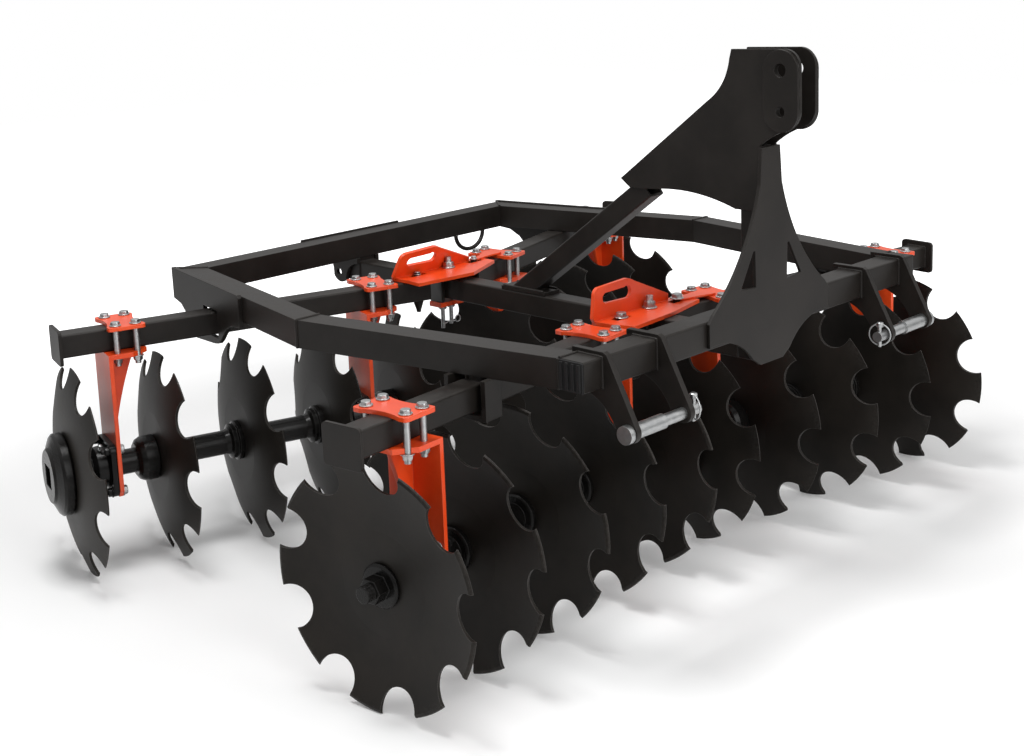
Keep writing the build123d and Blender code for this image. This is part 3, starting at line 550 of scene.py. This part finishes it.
# Gang bars: square tubes over the discs with a welded end plate, painted like the frame.
# Each is clamped to its standards and turns on a round pad under the rail.
for row, name, place in each_gang():
    dress(frame_paint, "bar_" + name)
    end, half, low, high = row["end"], BAR / 2, row["top"] - BAR, row["top"]
    loop = [(end, -half, low), (end, half, low), (end, half, high), (end, -half, high),
            (end, -half, low)]
    weld = placed(bead(loop, X_AXIS, 0.0028), place)
    piece("bar_weld_" + name, [weld], frame_paint, "bar_" + name)


# Bearings: cast housings with square flanges, each held to its leg by four bolts with zinc heads
# and black nuts, a seal ring round the journal and a grease nipple. Cast iron in gloss black.
def casting(name, scales, radius, dark, light, edge_highlight, bump):
    """Gloss black over cast iron: scales are those of the grain and of the clouds, and the third
    colour is a painted highlight on the rounded edges."""
    made, shader, start = finish(name, {"Specular IOR Level": 0.17})
    grain = spread(start, scales[0], 4.0, 0.6)
    cloudy = spread(start, scales[1], 3.0, 0.5)
    normal, edge = eased(start, radius)
    tone = cloudy.band(0.3, 0.7).mixed(dark, light)
    # Painted highlight: the rounded edges are lifted toward the third colour.
    tone = (edge * 0.35).mixed(tone, edge_highlight)
    put(shader, Base_Color=tone, Roughness=0.13 + grain * 0.18,
        Normal=bumped(start, grain, *bump, normal))
    return made


housing_paint = casting(
    "housing_paint", (300.0, 20.0), 0.0025, (0.0045, 0.0042, 0.0042, 1),
    (0.0085, 0.0080, 0.0078, 1), (0.055, 0.053, 0.052, 1), (0.32, 0.0009))
AXLE_Z = 0.2286
FLANGE, BACK, BOLT_REACH = 0.0167, 0.0047, 0.046
BEARING_NUT, BEARING_HEAD = (0.0085, 0.0085), (0.0088, 0.0070)
BEARING_ROD, BEARING_END = 0.0058, 0.018
NIPPLE_OUT, NIPPLE_FORWARD, NIPPLE_UP, MOUTH = 0.030, 0.018, 0.0415, 0.0487
NIPPLE = [(0, 0), (0, 0.0052), (0.004, 0.0052), (0.0045, 0.0030), (0.010, 0.0028),
          (0.0115, 0.0042), (0.0140, 0.0040), (0.0150, 0.0018), (0.0150, 0)]
SEAL = [(0, 0.0226), (0, 0.0325), (0.0022, 0.0325), (0.0034, 0.0300), (0.0034, 0.0226),
        (0, 0.0226)]
for row, name, place in each_gang():
    dress(housing_paint, "bearings_" + name)
    way = -row["web"]
    parts, seals = [], []
    for leg in (row["leg"], row["leg"] - STEP):
        for across in (-BOLT_REACH, BOLT_REACH):
            for rise in (-BOLT_REACH, BOLT_REACH):
                z = AXLE_Z + rise
                nut = stand((leg + way * FLANGE, across, z), (way, 0, 0), 0.3 + rise * 20)
                head = stand((leg - way * BACK, across, z), (-way, 0, 0), 0.1 + across * 9)
                seals += bolt_head(*BEARING_NUT, place @ nut)
                parts += bolt_head(*BEARING_HEAD, place @ head)
                seals.append(placed(shank(BEARING_ROD, 0.0, BEARING_END), place @ nut))
        spot = stand((leg + way * NIPPLE_OUT, NIPPLE_FORWARD, AXLE_Z + NIPPLE_UP), (0, 0.4, 1))
        parts.append(placed(lathe(NIPPLE, 16), place @ spot))
        mouth = stand((leg + way * MOUTH, 0, AXLE_Z), (way, 0, 0))
        seals.append(placed(lathe(SEAL, 40), place @ mouth))
    piece("bearing_bolts_" + name, parts, zinc, "bar_" + name)
    piece("bearing_seals_" + name, seals, housing_paint, "bar_" + name)


# Discs: dished boron-steel blades with nine round bites in the rim, five to a gang.
# Dipped in thin satin black over the rolled steel, worn lighter where the rim is ground, with a
# painted highlight along every edge.
def axle_distance(start, place):
    """Distance of a point from a gang's axle: the length of what is left across the axle."""
    spot = start.node("TexCoord", {}, {}, "Object")
    origin = tuple(place[:3, 3] + (0, 0, AXLE_Z))
    axis = tuple(place[:3, 0])
    rel = start.node("VectorMath", {"operation": "SUBTRACT"}, {0: spot, 1: origin})
    along = start.node("VectorMath", {"operation": "DOT_PRODUCT"}, {0: rel, 1: axis}, "Value")
    part = start.node("VectorMath", {"operation": "SCALE"}, {0: axis, "Scale": along})
    across = start.node("VectorMath", {"operation": "SUBTRACT"}, {0: rel, 1: part})
    return start.node("VectorMath", {"operation": "LENGTH"}, {0: across}, "Value")


RIM_FROM, RIM_TO = 0.205, 0.2285
for row, name, place in each_gang():
    steel, shader, start = finish("disc_steel_" + name, {"Specular IOR Level": 0.20})
    away = axle_distance(start, place)
    cloudy = spread(start, 7.0, 5.0, 0.6)
    fine = spread(start, 180.0, 4.0, 0.6)
    turned = away.math("SINE", away * 2100.0 + cloudy * 4.0)
    rim = away.band(RIM_FROM, RIM_TO)
    normal, edge = eased(start, 0.0011)
    tone = cloudy.band(0.25, 0.75).mixed((0.0085, 0.0070, 0.0057, 1), (0.0185, 0.0153, 0.0125, 1))
    tone = (rim * 0.24 * fine.band(0.3, 0.7)).mixed(tone, (0.075, 0.070, 0.066, 1))
    # Painted highlight: a bright silvery line along every rounded edge.
    tone = (edge * 0.75).mixed(tone, (0.230, 0.220, 0.210, 1))
    put(shader, Base_Color=tone, Roughness=0.36 + cloudy * 0.16 + fine * 0.06,
        Metallic=0.15 + rim * 0.25,
        Normal=bumped(start, fine * 0.6 + turned * 0.06, 0.18, 0.0006, normal))
    dress(steel, "discs_" + name)


# Spools: cast spacers that hold the discs apart on a square axle, big bell washers and a nut at
# the ends, and the journals that run in the bearings. All in gloss black, the axle ends too.
hub_paint = casting(
    "hub_paint", (260.0, 16.0), 0.0030, (0.0048, 0.0044, 0.0042, 1),
    (0.0095, 0.0088, 0.0082, 1), (0.065, 0.062, 0.060, 1), (0.34, 0.0010))
THREAD = 0.0158
for row, name, place in each_gang():
    way, low, high = row["thread"]
    dress(hub_paint, "spools_" + name)
    thread = placed(shank(THREAD, low, high), place @ stand((0, 0, AXLE_Z), (way, 0, 0)))
    piece("axle_thread_" + name, [thread], hub_paint, "gang_" + name)


# Adjusters: sliding plates over the beam with a slotted handle, guides painted black and a keeper
# under it. Orange like the clamps; zinc nuts on the pins hold the gang bars to them, and a flat
# orange strap lies on each left bar between its pin and its inner clamp.
adjuster_paint = enamel("adjuster_paint", ((0.4672, 0.4680), (0.5262, 0.5276)))
ADJUST = {
    "front": {"pin": (0.0925, 0.3426), "top": 0.5365, "mid": (-0.008, 0.3360), "end": -0.775,
              "nut": (0.0105, 0.0085), "foot": 0.55, "neck": 0.0120},
    "rear": {"pin": (0.0932, -0.2876), "top": 0.5450, "mid": (-0.006, -0.2850), "end": -0.873,
             "nut": (0.0064, 0.0050), "foot": 1.0, "neck": 0.0066}}
NUT_LIFT = {"right": 0.0003, "left": 0.0049}
GAP, ADJUST_PLATE = 0.0003, 0.0085
PIN_FOOT = [(0, 0), (0, 0.0125), (0.004, 0.0125), (0.012, 0.0100), (0.024, 0.0060),
            (0.030, 0.0050), (0.031, 0)]
STRAP_LOW, STRAP_THICK, STRAP_IN, STRAP_OUT, STRAP_WIDE = 0.0004, 0.0042, 0.024, 0.0120, 0.027
MID_NUT, MID_ROD = (0.0115, 0.0120), (0.0078, 0.010, 0.027)
KEEPER_Z, KEEPER_BACK, KEEPER_NUT, KEEPER_ROD = 0.4562, 0.002, (0.0085, 0.0060), (0.0050, 0.005)
KEEPER_BOLTS = ((0.017, 0.056), (-0.010, 0.050))
CLIP_WIRE, CLIP_X, CLIP_RING, CLIP_FORWARD = 0.0014, -0.026, 0.008, 0.004
CLIP_Z, LEG_Z = KEEPER_Z - 0.040, KEEPER_Z - 0.043
LEG_FROM, LEG_TO, LEG_WAVE = -0.020, 0.024, 0.0015


def slab(outline, low, high):
    """Flat plate over an outline: rings drawn in to the middle below and above, edges broken by
    0.8 mm. A ring's points are middle + (outline - middle) share."""
    outline = np.asarray(outline, float)
    middle = outline.mean(axis=0)
    edge = 0.0008
    drawn = 1 - edge / np.abs(outline - middle).max()
    share = np.array([0, drawn, 1, 1, drawn, 0])
    height = np.array([low, low, low + edge, high - edge, high, high])
    flat = middle + (outline - middle)[None] * share[:, None, None]
    tall = np.repeat(height[:, None, None], len(outline), axis=1)
    return sheet(np.concatenate([flat, tall], axis=2))


def squarish(values):
    """Sine or cosine values drawn out toward -1 and 1: sign(v) |v| ** 0.30."""
    return np.sign(values) * np.abs(values) ** 0.30


for gang, row in ADJUST.items():
    dress(adjuster_paint, "adjuster_" + gang)
    for sign, side in ((1, "right"), (-1, "left")):
        name = "%s_%s" % (gang, side)
        pin_x, pin_y = sign * row["pin"][0], row["pin"][1]
        spot = stand((pin_x, pin_y, row["top"] + NUT_LIFT[side]), Z_AXIS, 0.5)
        piece("pin_nut_" + name, bolt_head(*row["nut"], spot), zinc, "bar_" + name)
        under = row["top"] - ADJUST_PLATE - BAR
        foot = lathe([(height * row["foot"], radius) for height, radius in PIN_FOOT])
        foot = placed(foot, stand((pin_x, pin_y, under - GAP), (0, 0, -1)))
        piece("pin_foot_" + name, [foot], frame_paint, "bar_" + name)
    low = row["top"] + STRAP_LOW
    inner, outer = row["end"] + STRAP_IN, GANGS[gang]["clamp"] - STEP - STRAP_OUT
    turn = around(64)
    along = inner + (outer - inner) * (0.5 + 0.5 * squarish(np.cos(turn)))
    share = (along - inner) / (outer - inner)
    wide = row["neck"] + (STRAP_WIDE - row["neck"]) * share ** 2
    outline = np.stack([along, wide * squarish(np.sin(turn))], axis=1)
    strap = placed(slab(outline, low, low + STRAP_THICK), gang_place(gang, "left"))
    piece("strap_" + gang, [strap], orange, "bar_%s_left" % gang)
    mid_x, mid_y = row["mid"]
    spot = stand((mid_x, mid_y, row["top"] + GAP), Z_AXIS, 0.2)
    parts = bolt_head(*MID_NUT, spot) + [placed(shank(*MID_ROD), spot)]
    for x, tall in KEEPER_BOLTS:
        spot = stand((x, mid_y - KEEPER_BACK, KEEPER_Z - GAP), (0, 0, -1))
        parts += bolt_head(*KEEPER_NUT, spot) + [placed(shank(*KEEPER_ROD, tall), spot)]
    turn, wave = around(40), np.linspace(0, 3 * pi, 20)
    clip = np.stack([CLIP_X + CLIP_RING * np.cos(turn), np.full(40, mid_y + CLIP_FORWARD),
                     CLIP_Z + CLIP_RING * np.sin(turn)], axis=1)
    leg = np.stack([np.linspace(LEG_FROM, LEG_TO, 20), np.full(20, mid_y + CLIP_FORWARD),
                    LEG_Z - LEG_WAVE * np.sin(wave)], axis=1)
    parts += [carried(clip, CLIP_WIRE, Y_AXIS, 8, True), carried(leg, CLIP_WIRE, Y_AXIS, 8)]
    piece("slide_bolts_" + gang, parts, zinc, "adjuster_" + gang)


# End plugs: ribbed plastic caps pressed into the open ends of the front bar.
# Moulded in matt black with a fine grain, and a painted highlight on the rounded edges.
plug, shader, start = finish("plug_plastic", {"Specular IOR Level": 0.26})
grain = spread(start, 700.0, 2.0, 0.5)
normal, edge = eased(start, 0.0012)
# Painted highlight: the rounded edges are lifted toward a lighter grey.
tone = edge.mixed((0.011, 0.011, 0.0115, 1), (0.035, 0.034, 0.033, 1))
put(shader, Base_Color=tone, Roughness=0.42 + grain * 0.2,
    Normal=bumped(start, grain, 0.3, 0.0005, normal))
dress(plug, "end_plug_right", "end_plug_left")
